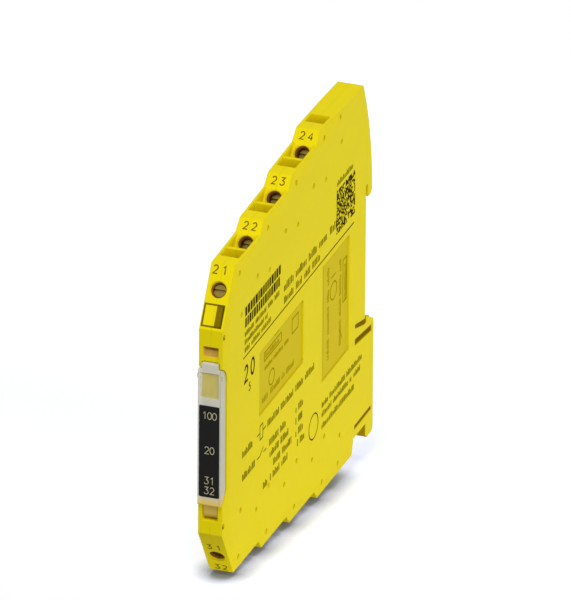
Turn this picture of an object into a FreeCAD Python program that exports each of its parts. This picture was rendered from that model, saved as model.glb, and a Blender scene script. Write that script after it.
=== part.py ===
import FreeCAD, Part
import math
import os

# Slim safety relay for a 35 mm mounting rail, in millimetres.
# While it is built, x runs across the width, y from the front face to the rear and z up from mid height.
# The exported pieces are moved so that the origin lies on the rail seat, level with the rail's middle.

Vec = FreeCAD.Vector
X_AXIS, Y_AXIS, Z_AXIS = Vec(1, 0, 0), Vec(0, 1, 0), Vec(0, 0, 1)
ORIGIN = Vec(0, 0, 0)

# Housing: overall width and wall
WIDTH = 6.2
HALF = WIDTH / 2
SIDE_WALL = 1.0
INNER = HALF - SIDE_WALL
FRONT_HALF_HEIGHT = 25.65

# Terminal steps, mirrored above and below mid height
TERMINALS = 4
TIP_Y, TIP_Z = 7.96, 38.56
PITCH_Y, PITCH_Z = 18.78, 2.66
RISER_RUN = 2.5

# Mounting rail, 35 mm wide with a 1 mm flange, and the seat and upper hook that hold it
RAIL_WIDTH = 35.0
RAIL_FLANGE = 1.0
RAIL_Z = 0.7
SEAT_FROM_LAST_TIP = 31.4
SEAT_Y = TIP_Y + PITCH_Y * (TERMINALS - 1) + SEAT_FROM_LAST_TIP
SEAT_WALL = 1.5
SEAT_TONGUE = 0.6
HOOK_BOTTOM = 15.0
HOOK_REAR = SEAT_Y + 4.1
HOOK_CHAMFER = 0.8
HOOK_GAP = 1.3
HOOK_RELIEF = 0.2
FLANGE_END_GAP = 0.2

# Rail latch that slides in the foot, and the spring under it
FOOT_FRONT = SEAT_Y - 6.8
FOOT_REAR = SEAT_Y + 6.2
FLAP_REAR = FOOT_REAR - 1.4
FLAP_TOP_FRONT, FLAP_TOP_REAR = -19.3, -20.7
FLAP_BOTTOM = -39.7
LATCH_TRAVEL = 1.5
LATCH_GAP = 0.1
LATCH_SIDE_GAP = 0.15
SEAT_LOW = -15.4
ARM_SLOT_FRONT = -13.9
ARM_SLOT_HEIGHT = 1.1
NOSE_GRIP = 1.3
NOSE_RAMP_DROP = 2.6
LATCH_ROUND = 1.4
LUG_LENGTH = 4.9
LUG_BOTTOM = -46.8
LOWER_ARM_THICK = 2.0
LOWER_GROOVE = 1.2
SPRING_WIRE = 0.4
SPRING_OUTER = 3.2
SPRING_TURNS = 8
WINDOW_FRONT = FOOT_FRONT + 4.1
WINDOW_REAR = WINDOW_FRONT + SPRING_OUTER + 0.8
WINDOW_TOP = -24.0
RIB_TOP = -35.4
RIB_THICK = 1.5

# Rear edges above the hook and below the foot
APEX = (SEAT_Y - 2.5, 44.8)
BACK_BULGE = 1.62
LOWER_CORNER = (FOOT_FRONT - 1.7, -46.4)
LOWER_KNEE = (FOOT_FRONT - 0.4, -42.3)

# Shallow taper of the side faces towards the front, top and bottom edges
RIM_WIDTH = 3.4
RIM_FRONT_WIDTH = 4.5
RIM_DROP = 0.28

# Screw terminals: the screw's tilt, its place below the step's tip and depths along its axis
SCREW_TILT = 36.0
SCREW_FROM_TIP = (-4.11, -4.37)
MOUTH_R = 1.95
LIP_R = 1.5
COUNTERSINK = 0.8
HEAD_R = 1.65
HEAD_TOP = 2.35
HEAD_THICK = 1.2
HEAD_CLEAR = 0.1
DRIVER_SLOT = 0.6
SHANK_R = 1.25
THREAD_CLEAR = 0.05
CAGE_TRAVEL = 1.1
CAGE_GAP = 0.05
CAGE_HALF_X = 1.9
CAGE_HALF_S = 2.0
CAGE_WALL_X = 0.45
CAGE_TOP_WALL = 1.2
CAGE_BOTTOM_WALL = 0.8
WIRE_SPACE = 2.4
BAR_THICK = 0.6
BAR_HALF_X = 1.35
BAR_UPPER_END = 2.6
BAR_TAIL_END = -8.0
BAR_GAP = 0.05
CHAMBER_GAP = 0.15

# Wire funnel behind each tip, the wire channel under it and the chute in front of each riser
FUNNEL_FROM_TIP = 3.9
FUNNEL_LENGTH = 4.7
FUNNEL_DEPTH = 4.6
FUNNEL_HALF_X = 2.3
WIRE_R = 1.4
RIDGE_DROP = 0.4
CHUTE_HALF_X = 2.4

# Round marks on the side faces, from the tip of each step
MARK_R = 0.65
MARK_DEPTH = 0.25
MARKS_FROM_TIP = ((2.52, -2.98), (14.43, -9.22), (3.88, -14.0))
LAST_MARK_FROM_TIP = (13.37, -2.61)
FRONT_MARKS = ((0.9, 23.9), (0.9, -23.6))
PEG_R = 0.8
PEG_CLEAR = 0.05
PEG_LENGTH = 1.2

# Front cover with its hinge below and its marking plate
COVER_HALF = 2.75
COVER_WALL = 0.8
COVER_TOP, COVER_BOTTOM = 16.0, -18.0
TAB_TOP, TAB_HALF, TAB_DEPTH = 17.4, 1.95, 0.6
COVER_PROUD = 0.8
COVER_CLEAR = 0.2
SCALLOP_DEPTH = 2.7
SCALLOP_RUN = 5.0
BAY_HALF = 2.0
HINGE_Y, HINGE_Z = 1.8, -20.3
BARREL_R = 1.6
BARREL_HALF = 1.7
BARREL_CLEAR = 0.1
HINGE_SLOT_HALF = 1.85
HINGE_SLOT_DROP = 2.0
PIVOT_R = 0.7
PIVOT_CLEAR = 0.05
PIVOT_END = 2.5
WEB_FRONT, WEB_REAR = 0.2, 2.2
LABEL_HALF = 2.4
LABEL_TOP, LABEL_BOTTOM = 7.0, -15.9
LABEL_THICK = 0.3
LABEL_SUNK = 0.25
LABEL_CORNER = 0.4
VIEW_HALF = 2.2
VIEW_TOP, VIEW_BOTTOM = 15.2, 9.0
VIEW_SUNK = 0.25
NUB_TOP, NUB_BOTTOM = 14.6, 13.6
NUB_OUT = 0.3
RECESS_HALF = 1.85
RECESS_TOP, RECESS_BOTTOM = 21.4, 18.7
RECESS_DEPTH = 2.2
LEDGE_TOP, LEDGE_DEPTH = 20.1, 1.2
SILL_DEPTH = 0.4

# Cavity for the circuit board
CAVITY_FRONT = 4.2
CAVITY_BELOW_TIPS = 13.6
CAVITY_REAR = SEAT_Y - SEAT_WALL
CAVITY_TURN = SEAT_Y - 9.7
FOOT_WALL = 1.5
BOARD_GAP = 0.3
BOARD_STANDOFF = 0.2
BOARD_THICK = 0.8

# Relays, each behind a window in the right side
RELAY_LENGTH, RELAY_HEIGHT = 28.4, 15.2
RELAY_TOP_FACE = 2.88
RELAY_CLEAR = 0.15
RELAY_1_CENTRE = (38.6, 1.2)
RELAY_2_CENTRE = (SEAT_Y - 20.4, -3.4)
WINDOW_1_SIZE = (29.5, 16.0)
WINDOW_2_SIZE = (18.4, 29.2)
WINDOW_SUNK = 0.25
WINDOW_CORNER = 1.0
PIN_OFFSETS = (-12.2, -8.4, 1.4, 6.4, 11.4)
PIN_WIDTH, PIN_THICK, PIN_LENGTH = 0.9, 0.5, 3.2

# Lights behind the cover
LED_HEIGHTS = (4.7, -4.4, -12.2, -14.8)
LED_SIZE = (0.8, 1.6, 0.8)
LED_FRONT = 5.0
GUIDE_HALF = 1.2
GUIDE_FRONT = 0.6
GUIDE_END_GAP = 0.2
GUIDE_MARGIN = 1.2
BAY_TOP = LED_HEIGHTS[0] + GUIDE_MARGIN + 0.3

# Parts on the board: size along y and z, then height; the place of each or the start and step of a row
CHIP_SIZE, CHIP_PLACE = (5.0, 6.2, 1.5), (59.0, 14.0)
INDUCTOR_SIZE, INDUCTOR_PLACE = (6.0, 6.0, 2.8), (14.5, 14.0)
CAPACITOR_SIZE, CAPACITOR_START, CAPACITOR_STEP = (3.5, 6.0, 2.6), (13.5, 2.0), (0, -8.0)
CAPACITORS = 2
BRIDGE_SIZE, BRIDGE_PLACE = (6.0, 4.6, 2.2), (14.5, -15.0)
RESISTOR_SIZE, RESISTOR_STEP = (1.6, 3.2, 0.6), (4.0, 0)
UPPER_RESISTORS, UPPER_START = 6, (26.0, 17.0)
LOWER_RESISTORS, LOWER_START = 5, (28.0, -17.0)
ARRESTER_SIZE, ARRESTER_PLACE = (6.5, 5.0, 2.4), (58.5, -24.0)


def point(y, z, x=0.0):
    return Vec(x, y, z)


def plate(outline, x0, x1):
    """A flat piece between x0 and x1 with a closed outline of (y, z) points."""
    corners = [point(y, z, x0) for y, z in outline]
    face = Part.Face(Part.makePolygon(corners + corners[:1]))
    return face.extrude(Vec(x1 - x0, 0, 0))


def block(x0, x1, y0, y1, z0, z1):
    return Part.makeBox(x1 - x0, y1 - y0, z1 - z0, Vec(x0, y0, z0))


def rounded_block(x0, x1, y0, y1, z0, z1, radius, along):
    """A block whose four edges along one axis are rounded."""
    solid = block(x0, x1, y0, y1, z0, z1)
    edges = [e for e in solid.Edges if abs(e.tangentAt(e.FirstParameter).dot(along)) > 0.99]
    return solid.makeFillet(radius, edges)


def rounded_corners(solid, corners, radius):
    """Rounds the edges of a plate that run across the width through the given (y, z) corners."""
    def at_corner(edge):
        box = edge.BoundBox
        return any(math.dist((box.Center.y, box.Center.z), corner) < 1e-6 for corner in corners)

    return solid.makeFillet(radius, [edge for edge in solid.Edges if at_corner(edge)])


def mirror_low(solid):
    return solid.mirror(ORIGIN, Z_AXIS)


def tip(index):
    return TIP_Y + PITCH_Y * index, TIP_Z + PITCH_Z * index


def cavity_line(y):
    """Height of the board cavity's upper edge, parallel to the line of the tips."""
    return TIP_Z + (y - TIP_Y) * PITCH_Z / PITCH_Y - CAVITY_BELOW_TIPS


# Outline of the housing

def stepped_edge():
    """Front corner, chamfer and the four steps of the upper edge."""
    points = [(0.0, FRONT_HALF_HEIGHT)]
    for index in range(TERMINALS):
        y, z = tip(index)
        points.append((y, z))
        if index < TERMINALS - 1:
            points.append((y + PITCH_Y - RISER_RUN, z))
    return points


def hook_points():
    """Upper hook behind the rail's flange, from the lip's tip round to the seat."""
    slot_rear = SEAT_Y + HOOK_GAP
    slot_top = RAIL_Z + RAIL_WIDTH / 2 + FLANGE_END_GAP
    relief = SEAT_Y - HOOK_RELIEF
    return [
        (HOOK_REAR, HOOK_BOTTOM + HOOK_CHAMFER), (HOOK_REAR - HOOK_CHAMFER, HOOK_BOTTOM),
        (slot_rear, HOOK_BOTTOM), (slot_rear, slot_top), (relief, slot_top),
        (relief, HOOK_BOTTOM), (SEAT_Y, HOOK_BOTTOM),
    ]


def foot_points():
    """Seat's lower end, the arm slot, and the flap that covers the latch."""
    return [
        (SEAT_Y, SEAT_LOW), (FOOT_FRONT, ARM_SLOT_FRONT), (FOOT_FRONT, FLAP_TOP_FRONT),
        (FLAP_REAR, FLAP_TOP_REAR), (FLAP_REAR, FLAP_BOTTOM), (FOOT_FRONT, FLAP_BOTTOM),
        LOWER_KNEE, LOWER_CORNER,
    ]


def housing_wire(x):
    """Closed outline of a shell at one x, with the curved upper rear edge as an arc."""
    start, end = APEX, hook_points()[0]
    chord = math.dist(start, end)
    out_y, out_z = (start[1] - end[1]) / chord, (end[0] - start[0]) / chord
    half_way = ((start[0] + end[0]) / 2, (start[1] + end[1]) / 2)
    middle = (half_way[0] + BACK_BULGE * out_y, half_way[1] + BACK_BULGE * out_z)
    arc = Part.Arc(point(*start, x), point(*middle, x), point(*end, x)).toShape()
    upper = stepped_edge() + [APEX]
    lower = hook_points() + foot_points() + [(y, -z) for y, z in reversed(stepped_edge())] + upper[:1]
    straight = [Part.makePolygon([point(*p, x) for p in points]) for points in (upper, lower)]
    return Part.Wire(straight[0].Edges + arc.Edges + straight[1].Edges)


def rim_wedge(start, end, width, side):
    """Long thin wedge that tapers a side face from the line start-end outwards over the width."""
    along = Vec(0, end[0] - start[0], end[1] - start[1])
    across = Vec(0, -along.z, along.y).normalize()
    foot, outward = point(*start, side * HALF), Vec(side, 0, 0)
    reach = 2 * width
    far = foot + across * reach
    corners = [foot, far - outward * (RIM_DROP * reach / width), far + outward, foot + outward]
    return Part.Face(Part.makePolygon(corners + corners[:1])).extrude(along)


def rim_lines():
    """Lines where the taper starts: front, chamfers and the stepped edges, going round clockwise."""
    slope = PITCH_Z / PITCH_Y
    fall = RIM_WIDTH * math.hypot(1, slope)
    run, rise = TIP_Y, TIP_Z - FRONT_HALF_HEIGHT
    shift = RIM_WIDTH / math.hypot(run, rise)
    top_end = APEX[0] + RIM_WIDTH
    top = ((-TIP_Y, TIP_Z - 2 * TIP_Y * slope - fall), (top_end, TIP_Z + (top_end - TIP_Y) * slope - fall))
    chamfer = ((-run + rise * shift, FRONT_HALF_HEIGHT - rise - run * shift),
               (2 * run + rise * shift, TIP_Z + rise - run * shift))
    front = ((RIM_FRONT_WIDTH, -TIP_Z), (RIM_FRONT_WIDTH, TIP_Z))
    low = [((b[0], -b[1]), (a[0], -a[1])) for a, b in (top, chamfer)]
    sloping = [(line, RIM_WIDTH) for line in [top, chamfer] + low]
    return sloping[:2] + [(front, RIM_FRONT_WIDTH)] + sloping[2:]


# Screw terminals, built with y along the screw and z towards the wire side

def seat_terminal(solid, index):
    """Moves a piece from the screw's own axes to its place under one upper tip."""
    tip_y, tip_z = tip(index)
    placed = solid.copy()
    placed.rotate(ORIGIN, X_AXIS, -SCREW_TILT)
    placed.translate(Vec(0, tip_y + SCREW_FROM_TIP[0], tip_z + SCREW_FROM_TIP[1]))
    return placed


def rod(radius, start, end):
    return Part.makeCylinder(radius, end - start, Vec(0, start, 0), Y_AXIS)


def screw_levels():
    """Depths along the screw: head underside, cage top and bottom when open, bar top and bottom."""
    head_under = HEAD_TOP + HEAD_THICK
    cage_top = head_under + 2 * CAGE_GAP + CAGE_TRAVEL
    bar_top = cage_top + CAGE_TOP_WALL + BAR_THICK
    bar_under = bar_top + BAR_THICK
    cage_bottom = bar_under + WIRE_SPACE + CAGE_BOTTOM_WALL
    return head_under, cage_top, bar_top, bar_under, cage_bottom


def terminal_screw():
    """Slotted brass screw that stays in place while it draws the cage up its thread."""
    head_under, _, bar_top, _, _ = screw_levels()
    head = rod(HEAD_R, HEAD_TOP, head_under)
    rim = [e for e in head.Edges if abs(e.BoundBox.YMax - HEAD_TOP) < 1e-6 and e.BoundBox.XLength > HEAD_R]
    head = head.makeFillet(HEAD_THICK / 4, rim)
    slot = block(-HEAD_R, HEAD_R, HEAD_TOP, HEAD_TOP + HEAD_THICK / 2, -DRIVER_SLOT / 2, DRIVER_SLOT / 2)
    return head.fuse(rod(SHANK_R, head_under, bar_top - BAR_GAP)).removeSplitter().cut(slot)


def clamp_cage():
    """Rising cage: a tapped top wall, two side walls and a floor that lifts the wire to the bar."""
    _, cage_top, _, bar_under, cage_bottom = screw_levels()
    outer = block(-CAGE_HALF_X, CAGE_HALF_X, cage_top, cage_bottom, -CAGE_HALF_S, CAGE_HALF_S)
    inner_x = CAGE_HALF_X - CAGE_WALL_X
    window = block(-inner_x, inner_x, cage_top + CAGE_TOP_WALL, bar_under + WIRE_SPACE, -HALF, HALF)
    thread = rod(SHANK_R + THREAD_CLEAR, cage_top - 1, cage_top + CAGE_TOP_WALL + 1)
    return outer.cut(window).cut(thread)


def contact_bar():
    """Flat bar through the cage, with a narrower tail that lies on the circuit board."""
    _, _, bar_top, bar_under, _ = screw_levels()
    head = block(-BAR_HALF_X, BAR_HALF_X, bar_top, bar_under, -CAGE_HALF_S - CHAMBER_GAP, BAR_UPPER_END)
    board_face = -INNER + BOARD_STANDOFF + BOARD_THICK
    tail = block(board_face, BAR_HALF_X, bar_top, bar_under, BAR_TAIL_END, -CAGE_HALF_S - CHAMBER_GAP)
    return head.fuse(tail).removeSplitter()


def terminal_space():
    """What a screw, its cage and its bar leave open in the plastic."""
    head_under, _, bar_top, bar_under, cage_bottom = screw_levels()
    lip_end = HEAD_TOP - HEAD_CLEAR
    bore = rod(LIP_R, -1.0, lip_end + HEAD_CLEAR)
    head_room = rod(HEAD_R + HEAD_CLEAR, lip_end, head_under + 2 * CAGE_GAP)
    half_x, half_s = CAGE_HALF_X + CHAMBER_GAP, CAGE_HALF_S + CHAMBER_GAP
    chamber = block(-half_x, half_x, head_under + CAGE_GAP, cage_bottom + CHAMBER_GAP, -half_s, half_s)
    bar_half = BAR_HALF_X + BAR_GAP
    bar_room = block(-bar_half, bar_half, bar_top - BAR_GAP, bar_under + BAR_GAP,
                     BAR_TAIL_END, BAR_UPPER_END + BAR_GAP)
    return bore.fuse([head_room, chamber, bar_room])


def screw_mouth(index):
    """Countersunk mouth of a screw hole: in the chamfer for the first screw, in a riser for the others."""
    if index == 0:
        slope = math.atan2(TIP_Y, TIP_Z - FRONT_HALF_HEIGHT)
        depth = MOUTH_ON_CHAMFER
    else:
        slope = math.atan2(RISER_RUN, PITCH_Z)
        depth = 0.0
    tilt = math.radians(SCREW_TILT) - slope
    spread = MOUTH_R * abs(math.tan(tilt))
    cone = Part.makeCone(MOUTH_R, LIP_R, COUNTERSINK, Vec(0, depth + spread, 0), Y_AXIS)
    lead = rod(MOUTH_R, depth - 1.0, depth + spread)
    return seat_terminal(cone.fuse(lead), index)


def mouth_on_chamfer():
    """Depth along the first screw's axis at which it leaves the chamfer."""
    tilt = math.radians(SCREW_TILT)
    run, rise = TIP_Y, TIP_Z - FRONT_HALF_HEIGHT
    dy, dz = SCREW_FROM_TIP
    return (dy * rise - dz * run) / -(math.cos(tilt) * rise + math.sin(tilt) * run)


MOUTH_ON_CHAMFER = mouth_on_chamfer()


def wire_funnel(index):
    """Square funnel behind the tip, and the round channel from it down to the open cage."""
    tip_y, tip_z = tip(index)
    front = tip_y + FUNNEL_FROM_TIP
    half_x = FUNNEL_HALF_X
    funnel = block(-half_x, half_x, front, front + FUNNEL_LENGTH, tip_z - FUNNEL_DEPTH, tip_z + PITCH_Z)
    tilt = math.radians(SCREW_TILT)
    _, _, _, bar_under, _ = screw_levels()
    depth = bar_under + WIRE_SPACE / 2
    target = point(tip_y + SCREW_FROM_TIP[0] + depth * math.cos(tilt),
                   tip_z + SCREW_FROM_TIP[1] - depth * math.sin(tilt))
    mouth = point(front + FUNNEL_LENGTH / 2, tip_z - FUNNEL_DEPTH / 2)
    path = mouth - target
    channel = Part.makeCylinder(WIRE_R, path.Length, target, path)
    return funnel.fuse(channel)


def driver_chute(index):
    """Sloping chute in the tread ahead of a riser, with its floor along the screw's axis."""
    tip_y, tip_z = tip(index)
    tilt = math.radians(SCREW_TILT)
    level = tip_z - PITCH_Z
    axis_y, axis_z = tip_y + SCREW_FROM_TIP[0], tip_z + SCREW_FROM_TIP[1]
    floor_y = axis_y - MOUTH_R * math.sin(tilt)
    floor_z = axis_z - MOUTH_R * math.cos(tilt)
    ridge_z = level - RIDGE_DROP
    ridge_y = floor_y - (ridge_z - floor_z) / math.tan(tilt)
    funnel_rear = tip_y - PITCH_Y + FUNNEL_FROM_TIP + FUNNEL_LENGTH / 2
    foot_y = tip_y - RISER_RUN
    riser = RISER_RUN / PITCH_Z
    low = (floor_z - level + (floor_y - foot_y) * math.tan(tilt)) / (1 + riser * math.tan(tilt))
    corner = (foot_y + low * riser, level + low)
    outline = [(funnel_rear, ridge_z), (ridge_y, ridge_z), corner, (foot_y, level),
               (foot_y, level + PITCH_Z), (funnel_rear, level + PITCH_Z)]
    return plate(outline, -CHUTE_HALF_X, CHUTE_HALF_X)


def terminal_cuts():
    """Everything cut for the eight terminals, above and below."""
    cuts = []
    for index in range(TERMINALS):
        cuts += [seat_terminal(terminal_space(), index), screw_mouth(index), wire_funnel(index)]
        if index > 0:
            cuts.append(driver_chute(index))
    return cuts + [mirror_low(cut) for cut in cuts]


# Spaces inside the housing

def cavity_outline(gap=0.0):
    """Space for the circuit board, drawn in by a gap for the board itself."""
    front, rear = CAVITY_FRONT + gap, CAVITY_REAR - gap
    foot = FOOT_FRONT - FOOT_WALL - gap
    high = [(front, cavity_line(front) - gap), (CAVITY_TURN, cavity_line(CAVITY_TURN) - gap)]
    low_turn = (foot, -cavity_line(foot) + gap)
    inner_low = ARM_SLOT_FRONT + FOOT_WALL + gap
    rear_top = (rear, HOOK_BOTTOM + HOOK_REAR - SEAT_Y)
    return high + [rear_top, (rear, inner_low), (foot, inner_low), low_turn, (front, -high[0][1])]


def scallop_wire(x, gap):
    """Opening for the cover, seen from the side: straight at the back with rounded ends."""
    deep = SCALLOP_DEPTH - gap
    top, bottom = COVER_TOP + COVER_CLEAR - gap, COVER_BOTTOM - COVER_CLEAR + gap
    bend = math.sqrt(0.5)
    front = -COVER_PROUD - (0 if gap else COVER_PROUD)

    def bend_point(end, turn):
        return point(deep * bend, end + turn * SCALLOP_RUN * (1 - bend), x)

    high, low = point(deep, top - SCALLOP_RUN, x), point(deep, bottom + SCALLOP_RUN, x)
    upper = Part.Arc(point(0, top, x), bend_point(top, -1), high).toShape()
    lower = Part.Arc(low, bend_point(bottom, 1), point(0, bottom, x)).toShape()
    nose = [point(0, bottom, x), point(front, bottom, x), point(front, top, x), point(0, top, x)]
    return Part.Wire([upper, Part.makeLine(high, low), lower] + Part.makePolygon(nose).Edges)


def front_cuts():
    """Opening round the cover, the bay behind it, the hinge slot with its sockets and what lies above."""
    scallop = Part.Face(scallop_wire(-HALF - 1, 0)).extrude(Vec(WIDTH + 2, 0, 0))
    bay = block(-BAY_HALF, BAY_HALF, -1, CAVITY_FRONT + 1, COVER_BOTTOM + COVER_WALL, BAY_TOP)
    slot_half = HINGE_SLOT_HALF
    slot = block(-slot_half, slot_half, -1, HINGE_Y + BARREL_R + BARREL_CLEAR,
                 HINGE_Z - HINGE_SLOT_DROP, COVER_BOTTOM + COVER_WALL + 1)
    end = PIVOT_END + BARREL_CLEAR
    sockets = Part.makeCylinder(PIVOT_R + PIVOT_CLEAR, 2 * end, Vec(-end, HINGE_Y, HINGE_Z), X_AXIS)
    return [scallop, bay, slot, sockets] + tab_cuts()


def tab_cuts():
    """Slot for the cover's tab, and above it a recess with a sunk sill and a ledge inside."""
    tab_half = TAB_HALF + COVER_CLEAR
    slot = block(-tab_half, tab_half, -1, TAB_DEPTH + COVER_CLEAR, COVER_TOP - TAB_DEPTH, TAB_TOP + COVER_CLEAR)
    sill = block(-RECESS_HALF, RECESS_HALF, -1, SILL_DEPTH, TAB_TOP, RECESS_BOTTOM)
    ledge = block(-RECESS_HALF, RECESS_HALF, -1, LEDGE_DEPTH, RECESS_BOTTOM, LEDGE_TOP)
    recess = block(-RECESS_HALF, RECESS_HALF, -1, RECESS_DEPTH, LEDGE_TOP, RECESS_TOP)
    return [slot, sill, ledge, recess]


def latch_space():
    """Room between the two flaps for the latch's plate."""
    top = ARM_SLOT_FRONT - ARM_SLOT_HEIGHT
    return block(-INNER, INNER, FOOT_FRONT, FOOT_REAR, FLAP_BOTTOM - 1, top)


def relay_box(centre, size, x0, x1, grow=0.0):
    half_y, half_z = size[0] / 2 + grow, size[1] / 2 + grow
    return (x0, x1, centre[0] - half_y, centre[0] + half_y, centre[1] - half_z, centre[1] + half_z)


def relay_cuts():
    """Windows in the right side: a shallow sunk field round an opening for each relay."""
    cuts = []
    relays = ((RELAY_1_CENTRE, WINDOW_1_SIZE, (RELAY_LENGTH, RELAY_HEIGHT)),
              (RELAY_2_CENTRE, WINDOW_2_SIZE, (RELAY_HEIGHT, RELAY_LENGTH)))
    for centre, window, body in relays:
        field = relay_box(centre, window, HALF - WINDOW_SUNK, HALF + 1)
        cuts.append(rounded_block(*field, WINDOW_CORNER, X_AXIS))
        cuts.append(block(*relay_box(centre, body, 0, HALF + 1, RELAY_CLEAR)))
    return cuts


# The two half shells

def peg_places():
    """Middle of every peg that joins the shells: two for each terminal."""
    places = []
    for index in range(TERMINALS):
        tip_y, tip_z = tip(index)
        for dy, dz in MARKS_FROM_TIP[:2]:
            places += [(tip_y + dy, tip_z + dz), (tip_y + dy, -tip_z - dz)]
    return places


def mark_places():
    """Middle of every round mark on a side face."""
    places = list(FRONT_MARKS)
    for index in range(TERMINALS):
        tip_y, tip_z = tip(index)
        marks = MARKS_FROM_TIP + ((LAST_MARK_FROM_TIP,) if index == TERMINALS - 1 else ())
        for dy, dz in marks:
            places += [(tip_y + dy, tip_z + dz), (tip_y + dy, -tip_z - dz)]
    return places


def x_rods(places, radius, x0, x1):
    return [Part.makeCylinder(radius, x1 - x0, point(y, z, x0), X_AXIS) for y, z in places]


def seat_strip(grow=0.0):
    """Strip of the seat wall that the left shell laps over the parting line."""
    low, high = SEAT_LOW + SIDE_WALL, HOOK_BOTTOM - SIDE_WALL
    return block(0, SEAT_TONGUE + grow, CAVITY_REAR, SEAT_Y + grow, low - grow, high + grow)


def half_shell(side):
    """One moulded half of the housing: side is -1 for the left and 1 for the right."""
    body = Part.Face(housing_wire(0)).extrude(Vec(side * HALF, 0, 0))
    body = body.cut([rim_wedge(*line, width, side) for line, width in rim_lines()])
    cuts = terminal_cuts() + front_cuts() + [plate(cavity_outline(), -INNER, INNER), latch_space()]
    body = body.cut(cuts)
    marks = x_rods(mark_places(), MARK_R, HALF - RIM_DROP - MARK_DEPTH, HALF + 1)
    if side < 0:
        marks = [mark.mirror(ORIGIN, X_AXIS) for mark in marks]
    return body.cut(marks)


def spring_ribs():
    """Rib inside the flaps that carries the spring's lower end and stops the latch."""
    gap = LATCH_GAP
    return block(-HALF + SIDE_WALL, HALF - SIDE_WALL, WINDOW_FRONT + gap, WINDOW_REAR - gap,
                 RIB_TOP - RIB_THICK, RIB_TOP)


def left_shell():
    pegs = x_rods(peg_places(), PEG_R, -PEG_LENGTH, PEG_LENGTH)
    rib = spring_ribs().common(block(-HALF, 0, 0, FOOT_REAR, LUG_BOTTOM, 0))
    body = half_shell(-1).fuse([seat_strip(), rib] + pegs)
    return body.removeSplitter()


def right_shell():
    sockets = x_rods(peg_places(), PEG_R + PEG_CLEAR, -1, PEG_LENGTH + PEG_CLEAR)
    rib = spring_ribs().common(block(0, HALF, 0, FOOT_REAR, LUG_BOTTOM, 0))
    body = half_shell(1).cut([seat_strip()] + sockets + relay_cuts()).fuse(rib)
    return body.removeSplitter()


# Front cover

def front_cover():
    """Clear cover: a shallow trough with a tab on top and a barrel and two pivots at its lower end."""
    outer = Part.Face(scallop_wire(-COVER_HALF, COVER_CLEAR)).extrude(Vec(2 * COVER_HALF, 0, 0))
    inner = COVER_HALF - COVER_WALL
    hollow = block(-inner, inner, COVER_WALL - COVER_PROUD, HALF + SCALLOP_DEPTH,
                   COVER_BOTTOM + COVER_WALL, COVER_TOP - COVER_WALL)
    label_seat = block(-LABEL_HALF, LABEL_HALF, -COVER_PROUD - 1, LABEL_SUNK - COVER_PROUD,
                       LABEL_BOTTOM, LABEL_TOP)
    view = block(-VIEW_HALF, VIEW_HALF, -COVER_PROUD - 1, VIEW_SUNK - COVER_PROUD, VIEW_BOTTOM, VIEW_TOP)
    body = outer.cut([hollow, label_seat, view])
    tab = block(-TAB_HALF, TAB_HALF, -COVER_PROUD, TAB_DEPTH, COVER_TOP - COVER_WALL, TAB_TOP)
    web = block(-BARREL_HALF, BARREL_HALF, WEB_FRONT, WEB_REAR, HINGE_Z, COVER_BOTTOM + 2 * COVER_WALL)
    head = block(-BARREL_HALF, BARREL_HALF, -COVER_WALL / 2, WEB_REAR,
                 COVER_BOTTOM, COVER_BOTTOM + COVER_WALL)
    barrel = Part.makeCylinder(BARREL_R, 2 * BARREL_HALF, Vec(-BARREL_HALF, HINGE_Y, HINGE_Z), X_AXIS)
    pivots = Part.makeCylinder(PIVOT_R, 2 * PIVOT_END, Vec(-PIVOT_END, HINGE_Y, HINGE_Z), X_AXIS)
    nubs = block(-COVER_HALF - NUB_OUT, COVER_HALF + NUB_OUT, -COVER_PROUD / 2, COVER_PROUD / 2,
                 NUB_BOTTOM, NUB_TOP).cut(block(-inner, inner, -HALF, HALF, NUB_BOTTOM, NUB_TOP))
    return body.fuse([tab, web, head, barrel, pivots, nubs]).removeSplitter()


def label_plate():
    front = -COVER_PROUD + LABEL_SUNK - LABEL_THICK
    return rounded_block(-LABEL_HALF, LABEL_HALF, front, front + LABEL_THICK, LABEL_BOTTOM, LABEL_TOP,
                         LABEL_CORNER, Y_AXIS)


def light_guide():
    """Clear bar behind the cover that carries the four lights forward."""
    front, rear = GUIDE_FRONT, LED_FRONT - GUIDE_END_GAP
    top, bottom = LED_HEIGHTS[0] + GUIDE_MARGIN, LED_HEIGHTS[-1] - GUIDE_MARGIN
    spine_rear = front + (rear - front) / 2
    board_face = -INNER + BOARD_STANDOFF + BOARD_THICK
    low_x = board_face + GUIDE_END_GAP
    spine = block(low_x, GUIDE_HALF, front, spine_rear, bottom, top)
    half_z = LED_SIZE[2] / 2 + GUIDE_END_GAP
    fingers = [block(low_x, GUIDE_HALF, spine_rear, rear, z - half_z, z + half_z) for z in LED_HEIGHTS]
    return spine.fuse(fingers).removeSplitter()


def status_leds():
    board_face = -INNER + BOARD_STANDOFF + BOARD_THICK
    size_x, size_y, size_z = LED_SIZE
    lights = [block(board_face, board_face + size_x, LED_FRONT, LED_FRONT + size_y,
                    z - size_z / 2, z + size_z / 2) for z in LED_HEIGHTS]
    return Part.makeCompound(lights)


# Rail latch

def latch_levels():
    """Height of the rail flange's lower end, the nose tip, and the lower arm's top."""
    flange_end = RAIL_Z - RAIL_WIDTH / 2
    return flange_end, flange_end + NOSE_GRIP, FLAP_BOTTOM - LOWER_GROOVE


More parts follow.
